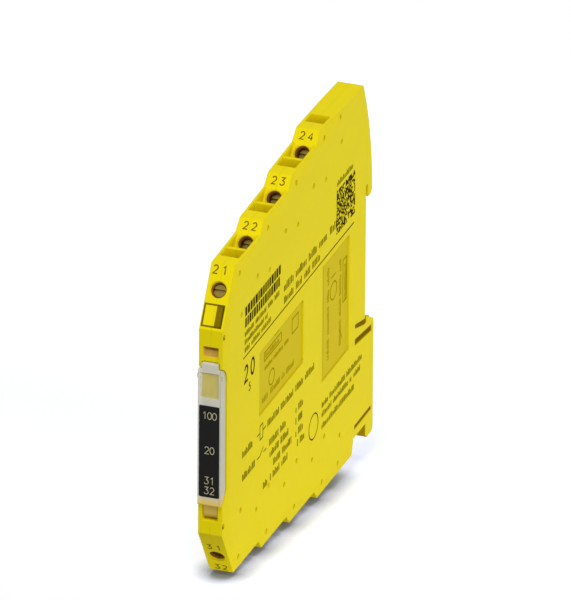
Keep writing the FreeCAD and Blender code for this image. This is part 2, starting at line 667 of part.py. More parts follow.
def latch_arm_outline():
    """Upper arm with its nose behind the rail flange and the ramp that rides over the rail."""
    flange_end, nose_top, _ = latch_levels()
    front = FOOT_FRONT + LATCH_GAP
    nose_front = SEAT_Y + RAIL_FLANGE + FLANGE_END_GAP
    under = flange_end - FLANGE_END_GAP
    groove = LATCH_TRAVEL + LATCH_GAP
    slope = (FLAP_TOP_REAR - FLAP_TOP_FRONT) / (FLAP_REAR - FOOT_FRONT)
    front_low = FLAP_TOP_FRONT + groove
    rear_low = FLAP_TOP_FRONT + slope * (FOOT_REAR - FOOT_FRONT) + groove
    return [
        (front, ARM_SLOT_FRONT - ARM_SLOT_HEIGHT), (SEAT_Y, under), (nose_front, under),
        (nose_front, nose_top - FLANGE_END_GAP), (nose_front + FLANGE_END_GAP, nose_top),
        (FOOT_REAR, nose_top - NOSE_RAMP_DROP), (FOOT_REAR, rear_low), (front, front_low),
    ]


def latch_lug_outline():
    """Lower arm with the lug that a screwdriver pulls down."""
    _, _, arm_top = latch_levels()
    front, lug_front = FOOT_FRONT + LATCH_GAP, FOOT_REAR - LUG_LENGTH
    arm_low = arm_top - LOWER_ARM_THICK
    bevel = HOOK_CHAMFER
    return [
        (front, arm_top), (FOOT_REAR, arm_top), (FOOT_REAR, LUG_BOTTOM),
        (lug_front + bevel, LUG_BOTTOM), (lug_front, LUG_BOTTOM + bevel), (lug_front, arm_low), (front, arm_low),
    ]


def rail_latch():
    """Sliding latch: a stem between the flaps, full-width arms and back, and a window for the spring."""
    half = HALF - LATCH_GAP
    stem_half = INNER - LATCH_SIDE_GAP
    _, nose_top, arm_top = latch_levels()
    ramp_end, lug_end = (FOOT_REAR, nose_top - NOSE_RAMP_DROP), (FOOT_REAR, LUG_BOTTOM)
    upper = rounded_corners(plate(latch_arm_outline(), -half, half), [ramp_end], LATCH_ROUND)
    lower = rounded_corners(plate(latch_lug_outline(), -half, half), [lug_end], LATCH_ROUND)
    back_top, stem_top = latch_arm_outline()[-2][1], latch_arm_outline()[-1][1]
    back = block(-half, half, FLAP_REAR + LATCH_GAP, FOOT_REAR, arm_top, back_top)
    stem = block(-stem_half, stem_half, FOOT_FRONT + LATCH_GAP, FOOT_REAR, arm_top, stem_top)
    window_low = RIB_TOP - RIB_THICK - LATCH_GAP / 2
    window = block(-HALF, HALF, WINDOW_FRONT, WINDOW_REAR, window_low, WINDOW_TOP)
    return upper.fuse([stem, back, lower]).cut(window).removeSplitter()


def latch_spring():
    """Compression spring between the rib and the top of the latch's window."""
    radius = (SPRING_OUTER - SPRING_WIRE) / 2
    middle = (WINDOW_FRONT + WINDOW_REAR) / 2
    start, end = RIB_TOP + SPRING_WIRE / 2, WINDOW_TOP - SPRING_WIRE / 2
    helix = Part.makeHelix((end - start) / SPRING_TURNS, end - start, radius)
    ring = Part.Wire(Part.makeCircle(SPRING_WIRE / 2, Vec(radius, 0, 0), Y_AXIS))
    coil = Part.Wire(helix).makePipeShell([ring], True, True)
    coil.translate(Vec(0, middle, start))
    return coil


# Circuit board and what stands on it

def circuit_board():
    front_face = -INNER + BOARD_STANDOFF
    body = plate(cavity_outline(BOARD_GAP), front_face, front_face + BOARD_THICK)
    holes = [block(*relay_box(RELAY_1_CENTRE, (RELAY_LENGTH, RELAY_HEIGHT), -HALF, HALF, BOARD_GAP)),
             block(*relay_box(RELAY_2_CENTRE, (RELAY_HEIGHT, RELAY_LENGTH), -HALF, HALF, BOARD_GAP))]
    return body.cut(holes)


def relay_case(centre, upright):
    size = (RELAY_HEIGHT, RELAY_LENGTH) if upright else (RELAY_LENGTH, RELAY_HEIGHT)
    return rounded_block(*relay_box(centre, size, -INNER, RELAY_TOP_FACE), RELAY_CLEAR * 2, X_AXIS)


def relay_pins(centre, upright):
    """Flat pins that leave the relay's base and lie on the board: below, or in front if it stands upright."""
    board_face = -INNER + BOARD_STANDOFF + BOARD_THICK
    base = -RELAY_HEIGHT / 2
    pins = []
    for offset in PIN_OFFSETS:
        low, high = offset - PIN_WIDTH / 2, offset + PIN_WIDTH / 2
        if upright:
            y0, y1 = centre[0] + base - PIN_LENGTH, centre[0] + base
            z0, z1 = centre[1] + low, centre[1] + high
        else:
            y0, y1 = centre[0] + low, centre[0] + high
            z0, z1 = centre[1] + base - PIN_LENGTH, centre[1] + base
        pins.append(block(board_face, board_face + PIN_THICK, y0, y1, z0, z1))
    return Part.makeCompound(pins)


def on_board(places, size):
    """Chips of one kind, standing on the board at each (y, z)."""
    size_y, size_z, height = size
    board_face = -INNER + BOARD_STANDOFF + BOARD_THICK
    chips = [block(board_face, board_face + height,
                   y - size_y / 2, y + size_y / 2, z - size_z / 2, z + size_z / 2) for y, z in places]
    return Part.makeCompound(chips) if len(chips) > 1 else chips[0]


def row(start, step, count):
    return [(start[0] + step[0] * i, start[1] + step[1] * i) for i in range(count)]


def board_parts():
    """Named parts on the board, single or in rows."""
    resistors = row(UPPER_START, RESISTOR_STEP, UPPER_RESISTORS)
    resistors += row(LOWER_START, RESISTOR_STEP, LOWER_RESISTORS)
    return {
        "control_chip": on_board([CHIP_PLACE], CHIP_SIZE),
        "input_inductor": on_board([INDUCTOR_PLACE], INDUCTOR_SIZE),
        "storage_capacitors": on_board(row(CAPACITOR_START, CAPACITOR_STEP, CAPACITORS), CAPACITOR_SIZE),
        "rectifier_bridge": on_board([BRIDGE_PLACE], BRIDGE_SIZE),
        "resistors": on_board(resistors, RESISTOR_SIZE),
        "surge_arrester": on_board([ARRESTER_PLACE], ARRESTER_SIZE),
    }


# All nodes by name

def terminal_nodes():
    """Screws, cages and bars of the eight terminals; number 1 is at the front."""
    nodes, bars = {}, []
    kinds = (("terminal_screw", terminal_screw()), ("clamp_cage", clamp_cage()))
    for index in range(TERMINALS):
        for name, solid in kinds:
            upper = seat_terminal(solid, index)
            nodes["%s_top_%d" % (name, index + 1)] = upper
            nodes["%s_bottom_%d" % (name, index + 1)] = mirror_low(upper)
        bar = seat_terminal(contact_bar(), index)
        bars += [bar, mirror_low(bar)]
    nodes["contact_bars"] = Part.makeCompound(bars)
    return nodes


def all_nodes():
    nodes = {
        "left_shell": left_shell(),
        "right_shell": right_shell(),
        "front_cover": front_cover(),
        "label_plate": label_plate(),
        "light_guide": light_guide(),
        "status_leds": status_leds(),
        "rail_latch": rail_latch(),
        "latch_spring": latch_spring(),
        "circuit_board": circuit_board(),
        "relay_one": relay_case(RELAY_1_CENTRE, False),
        "relay_one_pins": relay_pins(RELAY_1_CENTRE, False),
        "relay_two": relay_case(RELAY_2_CENTRE, True),
        "relay_two_pins": relay_pins(RELAY_2_CENTRE, True),
    }
    nodes.update(board_parts())
    nodes.update(terminal_nodes())
    return nodes


def export(nodes):
    os.makedirs("parts", exist_ok=True)
    for name, shape in nodes.items():
        placed = shape.copy()
        placed.translate(Vec(0, -SEAT_Y, -RAIL_Z))
        placed.exportStep("parts/%s.step" % name)


NODES = all_nodes()
export(NODES)
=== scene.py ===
import math
import random

import bpy
from mathutils import Matrix, Vector


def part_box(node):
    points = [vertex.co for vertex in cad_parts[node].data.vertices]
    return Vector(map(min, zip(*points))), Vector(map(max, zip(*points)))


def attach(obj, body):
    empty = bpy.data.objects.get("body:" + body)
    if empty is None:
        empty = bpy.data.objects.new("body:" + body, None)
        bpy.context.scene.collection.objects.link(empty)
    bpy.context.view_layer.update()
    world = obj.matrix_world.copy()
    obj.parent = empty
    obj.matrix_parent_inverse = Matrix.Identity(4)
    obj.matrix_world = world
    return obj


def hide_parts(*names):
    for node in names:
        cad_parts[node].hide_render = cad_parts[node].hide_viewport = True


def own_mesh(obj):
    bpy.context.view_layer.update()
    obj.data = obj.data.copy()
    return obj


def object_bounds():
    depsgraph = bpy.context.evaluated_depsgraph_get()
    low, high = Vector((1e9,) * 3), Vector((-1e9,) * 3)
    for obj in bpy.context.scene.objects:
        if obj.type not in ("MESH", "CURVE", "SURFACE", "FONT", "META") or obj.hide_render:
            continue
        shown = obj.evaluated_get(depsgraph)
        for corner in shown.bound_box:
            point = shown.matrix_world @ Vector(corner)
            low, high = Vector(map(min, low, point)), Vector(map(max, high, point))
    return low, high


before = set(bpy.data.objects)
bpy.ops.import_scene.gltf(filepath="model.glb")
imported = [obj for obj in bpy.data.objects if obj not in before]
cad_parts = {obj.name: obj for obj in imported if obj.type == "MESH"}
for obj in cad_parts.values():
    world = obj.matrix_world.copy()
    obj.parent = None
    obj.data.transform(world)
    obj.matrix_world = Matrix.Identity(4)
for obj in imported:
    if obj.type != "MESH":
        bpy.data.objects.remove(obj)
CAD_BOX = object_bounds()

# Looks of a slim safety relay: finishes of its pieces, generic print, light and camera.
# Places on the part are in mm: y from the front face rearwards, z from mid height, x from the middle.

MM = 0.001
SHELL_LOW, SHELL_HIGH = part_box("right_shell")
SIDE_X = SHELL_HIGH.x / MM
FRONT_Y = SHELL_LOW.y / MM
MIDDLE_Z = (SHELL_LOW.z + SHELL_HIGH.z) / 2 / MM
LABEL_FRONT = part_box("label_plate")[0].y / MM - FRONT_Y
RELAY_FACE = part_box("relay_one")[1].x / MM

# Outline that the print follows: chamfer, and the steps of the terminals
CHAMFER_CORNER = (0.0, 25.65)
TIP = (7.96, 38.56)
STEP = (18.78, 2.66)
RISER_RUN = 2.5
TERMINALS = 4

# Screw holes: a point on the first axis below its tip, the axis' tilt in degrees, radius and depth
SCREW_FROM_TIP = (-4.11, -4.37)
SCREW_TILT = 36.0
HOLE_R, HOLE_DEPTH = 1.8, 3.6

# Round marks in the sides: radius, places from each tip, from the last tip alone, and near the front
MARK_R = 0.58
MARKS_FROM_TIP = ((2.52, -2.98), (14.43, -9.22), (3.88, -14.0))
LAST_MARK_FROM_TIP = (13.37, -2.61)
FRONT_MARK = (0.9, 23.75)

# Fields with a colour of their own or with painted light and shade, as spans of y and z, and of x where they
# don't reach the sides: painted amber bounce light in the recess, painted shade in the foot's slots
WINDOWS = (((23.85, 53.35), (-6.8, 9.2)), ((66.1, 84.5), (-18.0, 11.2)))
RECESS = ((0.45, 2.25), (18.65, 21.45), (-1.9, 1.9))
SLOT_DEPTH = 0.25
FOOT_SLOTS = ((88.0, 101.4), (-47.0, -12.8), (SLOT_DEPTH - SIDE_X, SIDE_X - SLOT_DEPTH))
SEAM = ((-1, 110), (-60, 60), (-0.035, 0.035))

# Cover: the heights below which it is painted amber for bounced yellow light and above which it is milky, the
# clear view at its top, and its front
HINGE_FADE = (-17.7, -15.4)
VIEW = ((-1, 6), (9.0, 15.2), (-2.2, 2.2))
COVER_FRONT = ((-1, 6), (HINGE_FADE[0], 20), (-2.4, 2.4))

# Colours in steps of 0 to 255
COLOR_STEPS = 255
YELLOW = (234, 215, 14)
WINDOW_YELLOW = (214, 192, 8)
# Painted shade: darker yellow in the round marks, where their walls fall into shade
PAINTED_MARK_SHADE = (164, 138, 10)
# Amber of the lenses; in the recess it is painted bounce light, the amber of yellow light bounced inside it
LENS_AND_BOUNCE_AMBER = (226, 190, 92)
# Painted bounce light: amber on the cover's hinge, for the yellow light bounced and seen through there
PAINTED_HINGE_BOUNCE = (250, 216, 100)
# Painted shade: brown laid into the mouths of the screw holes, where their walls fall into shade
PAINTED_HOLE_SHADE = (138, 92, 40)
# Painted shade: darker yellow inside the slots beside the foot
PAINTED_SLOT_SHADE = (176, 146, 8)
# Painted light: the lit yellow of the plastic behind the view, laid on the cover itself
PAINTED_VIEW_YELLOW = (236, 222, 132)
INK = (60, 52, 2)
SOFT_INK = (128, 108, 6)
FAINT_INK = (164, 144, 2)
MILKY = (222, 221, 204)
LABEL_BLACK = (20, 20, 21)
LEGEND = (206, 200, 158)
# Brass of the screw heads, partly darkened by painted shade of the deep holes they sit in
BRASS_WITH_HOLE_SHADE = (126, 106, 50)
BAR_BRASS = (196, 160, 92)
STEEL = (176, 176, 172)
BOARD_GREEN = (30, 92, 54)
CHIP_BLACK = (30, 30, 32)
CERAMIC = (186, 172, 138)
CLEAR = (226, 226, 220)

# Curve from a colour's step to its linear level: end and slope of its straight part, offset and power
CURVE_START, CURVE_SLOPE, CURVE_OFFSET, CURVE_POWER = 0.04045, 12.92, 0.055, 2.4

# Noise is given as the size of its features in mm, its detail, and its stretch along x, y and z

# Yellow plastic: flow marks, wear, grain, rounded edges and the parting line
YELLOW_ROUGHNESS, YELLOW_SPECULAR = 0.5, 0.03
FLOW, FLOW_SWING = (16, 3, (1, 1, 2.2)), 0.025
WEAR, WEAR_LIMITS = (2.5, 3), (0.45, 0.58)
YELLOW_GRAIN, YELLOW_GRAIN_DEPTH, YELLOW_EDGE = (0.22, 2), 0.004, 0.2
SEAM_SHARE = 0.12

# Plain plastics and inks: colour, roughness, swing of tone, size and depth of the grain, specular level
PLAIN = {
    "label_black": (LABEL_BLACK, 0.5, 0.1, 0.15, 0.002, 0.1),
    "relay_case": (WINDOW_YELLOW, 0.5, 0.02, 0.3, 0.004, 0.02),
    "chip_black": (CHIP_BLACK, 0.5, 0.04, 0.3, 0.004, 0.5),
    "ceramic": (CERAMIC, 0.55, 0.04, 0.3, 0.004, 0.5),
    "ink": (INK, 0.5, 0.06, 0.3, 0.004, 0.0),
    "faint_ink": (FAINT_INK, 0.45, 0.04, 0.3, 0.004, 0.0),
    "soft_ink": (SOFT_INK, 0.5, 0.05, 0.3, 0.004, 0.0),
    "legend_ink": (LEGEND, 0.5, 0.05, 0.3, 0.004, 0.05),
}
PLAIN_TONE, PLAIN_WEAR, PLAIN_WEAR_SHARES = (5, 2), (1.5, 2), (0.85, 1.15)
PLAIN_GRAIN_DETAIL, PLAIN_EDGE = 2, 0.12

# Cover: tone, painted streaks of the lit plastic behind its view, how opaque it is and how much clearer in
# the view and in front
COVER_ROUGHNESS, COVER_SPECULAR = 0.32, 0.35
COVER_TONE, COVER_SWING = (6, 2), 0.03
VIEW_TONE, VIEW_SWING = (1.6, 1, (1, 1, 0.3)), 0.16
COVER_OPAQUE, VIEW_CLEARER, FRONT_CLEARER = 0.62, 0.3, -0.2
COVER_RELIEF, COVER_RELIEF_DEPTH, COVER_EDGE = (0.8, 1), 0.004, 0.25

# Clear plastics: tone, relief, and how opaque the guide and the lenses are
CLEAR_ROUGHNESS = 0.15
CLEAR_TONE, CLEAR_SWING = (3, 1), 0.05
CLEAR_RELIEF, CLEAR_RELIEF_DEPTH = (1.2, 1), 0.002
GUIDE_OPAQUE, LENS_OPAQUE = 0.45, 0.85

# Metals: colour, roughness, and stretch of the tool marks; then tarnish, sheen, marks and edges of all
METALS = {
    "turned_brass": (BRASS_WITH_HOLE_SHADE, 0.42, (1, 1, 1)),
    "stamped_brass": (BAR_BRASS, 0.28, (1, 1, 8)),
    "zinc_steel": (STEEL, 0.35, (8, 1, 1)),
    "spring_wire": (STEEL, 0.25, (1, 1, 6)),
}
TARNISH, TARNISH_SWING = (1.6, 3), 0.16
SHEEN, SHEEN_SHARES = (0.4, 3), (0.7, 1.3)
TOOL_MARKS, TOOL_MARK_DEPTH, METAL_EDGE = (0.12, 2), 0.006, 0.06

# Board: faint tracks under its mask
BOARD_ROUGHNESS = 0.35
TRACK_SCALE, TRACK_DISTORTION, TRACK_SWING, TRACK_DEPTH = 260, 3.0, 0.12, 0.01

# Pieces of the plain finishes by name, and of the metals by the start of their names
PLAIN_PIECES = {
    "label_black": ["label_plate"],
    "relay_case": ["relay_one", "relay_two"],
    "chip_black": ["control_chip", "input_inductor", "rectifier_bridge", "resistors"],
    "ceramic": ["storage_capacitors", "surge_arrester"],
}
METAL_PIECES = {
    "turned_brass": ("terminal_screw",),
    "stamped_brass": ("contact_bars",),
    "zinc_steel": ("clamp_cage", "relay_one_pins", "relay_two_pins"),
}

# Nodes: sockets for factor and colours of a mix node, and samples of a rounded edge
MIX_INPUTS, MIX_OUTPUT = (0, 6, 7), 2
BEVEL_SAMPLES = 6

# Print: thickness, strokes of made-up writing and digits as shares of their height, and how lines bend
INK_PROUD = 0.015
INK_SUNK = 0.01
STROKE = 0.24
STROKE_GAP, STROKE_GAP_SHARES = 0.18, (0.8, 1.6)
WORD_GAP = 0.75
LETTER_HEIGHTS = (0.72, 0.72, 1.0, 1.0, 1.0)
DIGIT_WIDTH, DIGIT_GAP, DIGIT_STROKE = 0.55, 0.3, 0.16
ARC_STEPS, ZERO_STEPS, RING_STEPS = 12, 20, 28
CLOSE = 1e-6
MITRE_LIMIT = 0.8
SEED = 7

# Bold block of the heading: its rows, start and end, height of a bar, gap, and limits of a bar's width
BLOCK_ROWS = (20.1, 22.9)
BLOCK_START, BLOCK_END, BLOCK_HEIGHT, BLOCK_GAP = 14.2, 37.0, 2.3, 0.45
BLOCK_BARS = (0.8, 1.5)

# Dotted field: corner, columns and rows, size of a square, and share of the squares that are dark
DOTS_CORNER, DOTS_COLUMNS, DOTS_ROWS, DOT = (75.5, 15.1), 25, 22, 0.5
DOTS_DARK = 0.58

# Layouts in mm on their surface, u to the right and v up:
# numbers as text, centre, height, width over all and thickness; rows as u, v, height and word lengths;
# bars as u and v limits; lines as points and width; borders as u and v limits and width;
# rings as centre, radius and width.
HEADING = {
    "rows": (
        (14.0, 17.9, 1.25, (6.2, 7.4, 3.4, 3.2)),
        (14.0, 15.9, 1.25, (12.6, 1.6)),
        (14.0, 13.9, 1.25, (3.6, 5.6, 6.4)),
        (40.2, 17.1, 2.0, (6.4, 7.2, 5.6, 5.8, 5.2)),
        (40.2, 14.0, 1.8, (6.6, 4.4, 4.0, 5.6)),
        (75.8, 27.1, 1.4, (10.8,)),
    ),
    "bars": ((13.0, 87.4, 12.72, 13.04),),
}
RATING = {
    "numbers": (("20", (17.2, 8.3), 3.9, 6.4, 0.17), ("5", (17.4, 4.0), 1.9, 0, 0.17)),
    "rows": (
        (12.8, -12.1, 1.8, (6.6,)),
        (29.6, -12.0, 1.7, (7.6, 8.6, 5.2, 6.6)),
        (12.8, -17.9, 1.8, (9.0,)),
        (30.9, -17.5, 1.75, (6.0, 3.8)),
        (48.6, -17.5, 1.75, (0.5, 3.4)),
        (31.2, -20.5, 1.75, (6.0, 5.6)),
        (48.6, -20.5, 1.75, (0.5, 3.4)),
        (33.6, -23.6, 1.75, (4.8, 6.4)),
        (48.6, -23.6, 1.75, (0.5, 3.4)),
        (26.8, -26.5, 1.75, (3.4, 0.5, 4.6, 4.2)),
        (49.8, -26.5, 1.75, (0.5, 3.4)),
        (66.4, -24.6, 1.45, (4.2, 10.4, 10.8)),
        (66.4, -27.0, 1.45, (6.6, 10.2, 1.6, 4.6)),
        (66.4, -30.0, 1.45, (22.4,)),
    ),
    "lines": (
        (((22.6, -11.2), (24.4, -11.2)), 0.28),
        (((26.6, -11.2), (28.6, -11.2)), 0.28),
        (((22.6, -17.0), (24.6, -17.0)), 0.28),
        (((24.6, -17.0), (26.9, -15.6)), 0.28),
        (((27.0, -17.0), (28.8, -17.0)), 0.28),
    ),
    "borders": ((24.4, 26.6, -13.1, -9.3, 0.3),),
    "rings": (((60.8, -26.6), 3.1, 0.34),),
}
RELAY_ONE = {
    "rows": (
        (28.4, 5.8, 1.2, (9.6,)),
        (28.0, 2.9, 1.0, (5.2, 6.4, 3.0)),
        (26.4, -4.8, 1.5, (4.4, 6.4, 2.0, 5.2)),
    ),
    "lines": ((((34.4, 8.8), (37.6, 8.8)), 0.3),),
    "borders": ((27.6, 39.4, 5.2, 7.6, 0.35), (46.2, 50.6, 3.4, 7.4, 0.35)),
    "rings": (((32.8, -0.8), 1.9, 0.35),),
}
RELAY_TWO = {
    "rows": (
        (-4.2, -83.0, 1.4, (8.8,)),
        (-14.4, -79.6, 1.4, (6.4, 4.2, 5.0, 3.4)),
        (-14.4, -71.4, 1.4, (5.4, 7.2, 3.2, 4.4)),
    ),
    "lines": ((((5.4, -72.6), (5.4, -76.0)), 0.3), (((-13.2, -80.4), (-10.2, -78.6)), 0.3)),
    "borders": ((-4.6, 6.4, -83.4, -80.6, 0.35),),
    "rings": (((1.6, -74.4), 2.2, 0.35),),
}
UPPER_CHAMFER = {
    "numbers": (("21", (-0.4, 13.75), 1.9, 3.2),),
    "bars": ((0.5, 2.3, 0.6, 6.0),),
    "borders": ((-2.6, 2.3, 0.6, 6.0, 0.42),),
}
LOWER_CHAMFER = {"numbers": (("31", (0.0, -5.4), 1.8, 3.2), ("32", (0.2, -13.6), 1.8, 2.8))}
PLATE = {
    "numbers": (
        ("100", (0.1, 4.6), 1.75, 3.3, 0.095),
        ("20", (0.1, -4.1), 1.75, 2.2, 0.095),
        ("31", (0.1, -11.7), 1.75, 2.3, 0.095),
        ("32", (0.1, -14.2), 1.75, 2.3, 0.095),
    ),
}

# Numbers on the steps: those before the first step, then place, height and width
UPPER_NUMBER, LOWER_NUMBER = 21, 32
STEP_NUMBER_U, STEP_NUMBER_FROM_TIP = 0.1, 1.75
STEP_NUMBER_SIZE = (1.8, 3.0)

# Camera, as solved from the photograph
CAMERA_AIM = (-1.309, -42.1, 7.373)
CAMERA_AZIMUTH, CAMERA_ELEVATION, CAMERA_ROLL = 19.494, 26.394, 0.407
CAMERA_DISTANCE = 4715.4
CAMERA_LENS, CAMERA_SENSOR = 1250.1, 36.0

# Light levels, where 1 shows a facing white surface as white.
# Lamps: azimuth and elevation in degrees, level, and edge in metres, all at one distance in metres
SKY_LEVEL = 0.34
WHITE = (1.0, 1.0, 1.0, 1.0)
LAMP_DISTANCE = 1.6
LAMPS = {
    "key": (6, 62, 0.34, 0.5),
    "right": (62, 22, 0.52, 1.2),
    "left": (-65, 25, 0.28, 1.2),
    "back": (165, 25, 0.2, 1.2),
}

# Floor: its edges in metres from the middle and its gap in mm, its tones, and the painted contact shadow near
# the part
FLOOR_X, FLOOR_Y, FLOOR_GAP = (-0.3, 0.3), (-0.1, 0.3), 1.2
FLOOR_GLOW = (0.28, 0.3, 0.42, 1.0)
FLOOR_SHADE = (0.9, 0.93, 1.0, 1.0)
FLOOR_WHITE = (0.8, 0.8, 0.8, 1.0)
CONTACT_DARK = (0.3, 0.32, 0.42, 1.0)
CONTACT_REACH = 6.0
CONTACT_OPEN = 0.5


def srgb(color):
    """Linear colour, with alpha, of a colour in steps of 0 to 255."""
    def linear(step):
        share = step / COLOR_STEPS
        if share <= CURVE_START:
            return share / CURVE_SLOPE
        return ((share + CURVE_OFFSET) / (1 + CURVE_OFFSET)) ** CURVE_POWER

    return (*map(linear, color), 1.0)


def add_object(name, data):
    """A new object of the scene that holds the given data."""
    holder = bpy.data.objects.new(name, data)
    bpy.context.scene.collection.objects.link(holder)
    return holder


def arc(centre, radii, start, end, steps=ARC_STEPS):
    """Points on an arc between two angles in degrees."""
    turns = [math.radians(start + (end - start) * i / steps) for i in range(steps + 1)]
    return [(centre[0] + radii[0] * math.cos(t), centre[1] + radii[1] * math.sin(t)) for t in turns]


# Lines of each digit in a box one wide and one high
DIGITS = {
    "0": [arc((0.5, 0.5), (0.5, 0.5), 0, 360, ZERO_STEPS)],
    "1": [[(0.2, 0.76), (0.6, 1.0), (0.6, 0.0)]],
    "2": [arc((0.5, 0.7), (0.46, 0.3), 165, -32) + [(0.0, 0.0), (1.0, 0.0)]],
    "3": [[(0.06, 1.0), (0.92, 1.0), (0.46, 0.6)] + arc((0.44, 0.3), (0.52, 0.3), 75, -155)],
    "4": [[(0.74, 0.0), (0.74, 1.0), (0.0, 0.3), (1.0, 0.3)]],
    "5": [[(0.92, 1.0), (0.2, 1.0), (0.12, 0.52)] + arc((0.46, 0.33), (0.5, 0.33), 130, -155)],
}


# Surfaces that carry print

def surface(origin, right, up):
    """Places points (right, up, out) of a flat surface; origin is an (x, y, z) place on the part in mm."""
    x, y, z = origin
    right, up = Vector(right).normalized(), Vector(up).normalized()
    basis = Matrix((right, up, right.cross(up))).transposed()
    place = Vector((x, FRONT_Y + y, MIDDLE_Z + z))
    return Matrix.Scale(MM, 4) @ Matrix.Translation(place) @ basis.to_4x4()


def side_surface(x):
    """Right side, seen from outside: right is y and up is z."""
    return surface((x, 0, 0), (0, 1, 0), (0, 0, 1))


def slope_surface(start, end, low=False):
    """A chamfer or riser from one (y, z) point up to another, or its mirror below mid height."""
    run, rise = end[0] - start[0], end[1] - start[1]
    if low:
        return surface((0, start[0], -start[1]), (1, 0, 0), (0, -run, rise))
    return surface((0, start[0], start[1]), (1, 0, 0), (0, run, rise))


class Print:
    """Flat print on surfaces, gathered into one mesh of thin closed fields."""

    def __init__(self, name):
        self.name = name
        self.points, self.faces = [], []
        self.dice = random.Random(SEED)

    def field(self, place, outline):
        """One closed field with straight sides, given as (right, up) points going round anticlockwise."""
        first, count = len(self.points), len(outline)
        for out in (-INK_SUNK, INK_PROUD):
            self.points += [place @ Vector((u, v, out)) for u, v in outline]
        low = list(range(first, first + count))
        high = [i + count for i in low]
        self.faces += [tuple(reversed(low)), tuple(high)]
        self.faces += [(low[i - 1], low[i], high[i], high[i - 1]) for i in range(count)]

    def bar(self, place, u0, u1, v0, v1):
        self.field(place, [(u0, v0), (u1, v0), (u1, v1), (u0, v1)])

    def line(self, place, points, width):
        """A bent line of one width with mitred corners, which closes where it ends at its start."""
        points = [Vector(p) for p in points]
        normals = [Vector((a.y - b.y, b.x - a.x)).normalized() for a, b in zip(points, points[1:])]
        closed = (points[0] - points[-1]).length < CLOSE
        ends = (normals[-1], normals[0]) if closed else (normals[0], normals[-1])
        offsets = []
        for before, after in zip([ends[0]] + normals, normals + [ends[1]]):
            middle = before + after
            offsets.append(middle * width / max(middle.length_squared, MITRE_LIMIT))
        for k, (a, b) in enumerate(zip(points, points[1:])):
            self.field(place, [a - offsets[k], b - offsets[k + 1], b + offsets[k + 1], a + offsets[k]])

    def border(self, place, u0, u1, v0, v1, width):
        self.bar(place, u0, u1, v0, v0 + width)
        self.bar(place, u0, u1, v1 - width, v1)
        self.bar(place, u0, u0 + width, v0 + width, v1 - width)
        self.bar(place, u1 - width, u1, v0 + width, v1 - width)

    def ring(self, place, centre, radius, width):
        self.line(place, arc(centre, (radius, radius), 0, 360, RING_STEPS), width)

    def writing(self, place, u, v, height, words):
        """A line of made-up writing: upright strokes of uneven height in words of the given lengths."""
        for length in words:
            end = u + length
            while u + STROKE * height <= end:
                tall = self.dice.choice(LETTER_HEIGHTS) * height
                self.bar(place, u, u + STROKE * height, v, v + tall)
                u += (STROKE + STROKE_GAP * self.dice.uniform(*STROKE_GAP_SHARES)) * height
            u = end + WORD_GAP * height

    def number(self, place, text, centre, height, width=0, thick=DIGIT_STROKE):
        """A plain number in thin lines, centred on a point; a width spreads its digits."""
        wide = DIGIT_WIDTH * height
        step = (width - wide) / (len(text) - 1) if width else wide + DIGIT_GAP * height
        left = centre[0] - (step * (len(text) - 1) + wide) / 2
        low = centre[1] - height / 2
        for index, digit in enumerate(text):
            start = left + index * step
            for points in DIGITS[digit]:
                self.line(place, [(start + u * wide, low + v * height) for u, v in points], thick * height)

    def layout(self, place, numbers=(), rows=(), borders=(), bars=(), lines=(), rings=()):
        """All print of one layout."""
        for draw, items in ((self.number, numbers), (self.writing, rows), (self.border, borders),
                            (self.bar, bars), (self.line, lines), (self.ring, rings)):
            for item in items:
                draw(place, *item)

    def finish(self, body, material):
        mesh = bpy.data.meshes.new(self.name)
        mesh.from_pydata(self.points, [], self.faces)
        mesh.validate()
        mesh.materials.append(material)
        piece = add_object(self.name, mesh)
        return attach(piece, body)


def side_print(ink):
    """The right side: bold block, heading with the rule, dotted field, and the ratings below."""
    side = side_surface(SIDE_X)
    block_print(ink, side)
    ink.layout(side, **HEADING)
    dotted_field(ink, side)
    ink.layout(side, **RATING)


def block_print(ink, side):
    """Two rows of bold bars of uneven width."""
    for v in BLOCK_ROWS:
        u = BLOCK_START
        while u < BLOCK_END:
            width = ink.dice.uniform(*BLOCK_BARS)
            ink.bar(side, u, u + width, v, v + BLOCK_HEIGHT)
            u += width + BLOCK_GAP


def dotted_field(ink, side):
    """A field of small squares filled at random, with no meaning; neighbours in a row are one bar."""
    for row in range(DOTS_ROWS):
        filled = [ink.dice.random() < DOTS_DARK for _ in range(DOTS_COLUMNS)]
        start = None
        for column, dark in enumerate(filled + [False]):
            if dark and start is None:
                start = column
            if not dark and start is not None:
                v = DOTS_CORNER[1] + row * DOT
                ink.bar(side, DOTS_CORNER[0] + start * DOT, DOTS_CORNER[0] + column * DOT, v, v + DOT)
                start = None


def relay_print(ink):
    """Faint print of the relays, seen in the windows; the second relay stands upright."""
    ink.layout(side_surface(RELAY_FACE), **RELAY_ONE)
    ink.layout(surface((RELAY_FACE, 0, 0), (0, 0, 1), (0, -1, 0)), **RELAY_TWO)


def terminal_print(ink):
    """Plain numbers beside the terminals, and the framed field on the upper chamfer."""
    ink.layout(slope_surface(CHAMFER_CORNER, TIP), **UPPER_CHAMFER)
    ink.layout(slope_surface(CHAMFER_CORNER, TIP, low=True), **LOWER_CHAMFER)
    for index in range(1, TERMINALS):
        tip = (TIP[0] + STEP[0] * index, TIP[1] + STEP[1] * index)
        foot = (tip[0] - RISER_RUN, tip[1] - STEP[1])
        middle = math.dist(foot, tip) - STEP_NUMBER_FROM_TIP
        for low, number, v in ((False, UPPER_NUMBER + index, middle), (True, LOWER_NUMBER + index, -middle)):
            place = slope_surface(foot, tip, low)
            ink.number(place, str(number), (STEP_NUMBER_U, v), *STEP_NUMBER_SIZE)


def legend_print(ink):
    """Plain numbers on the marking plate."""
    ink.layout(surface((0, LABEL_FRONT, 0), (1, 0, 0), (0, 0, 1)), **PLATE)


# Materials

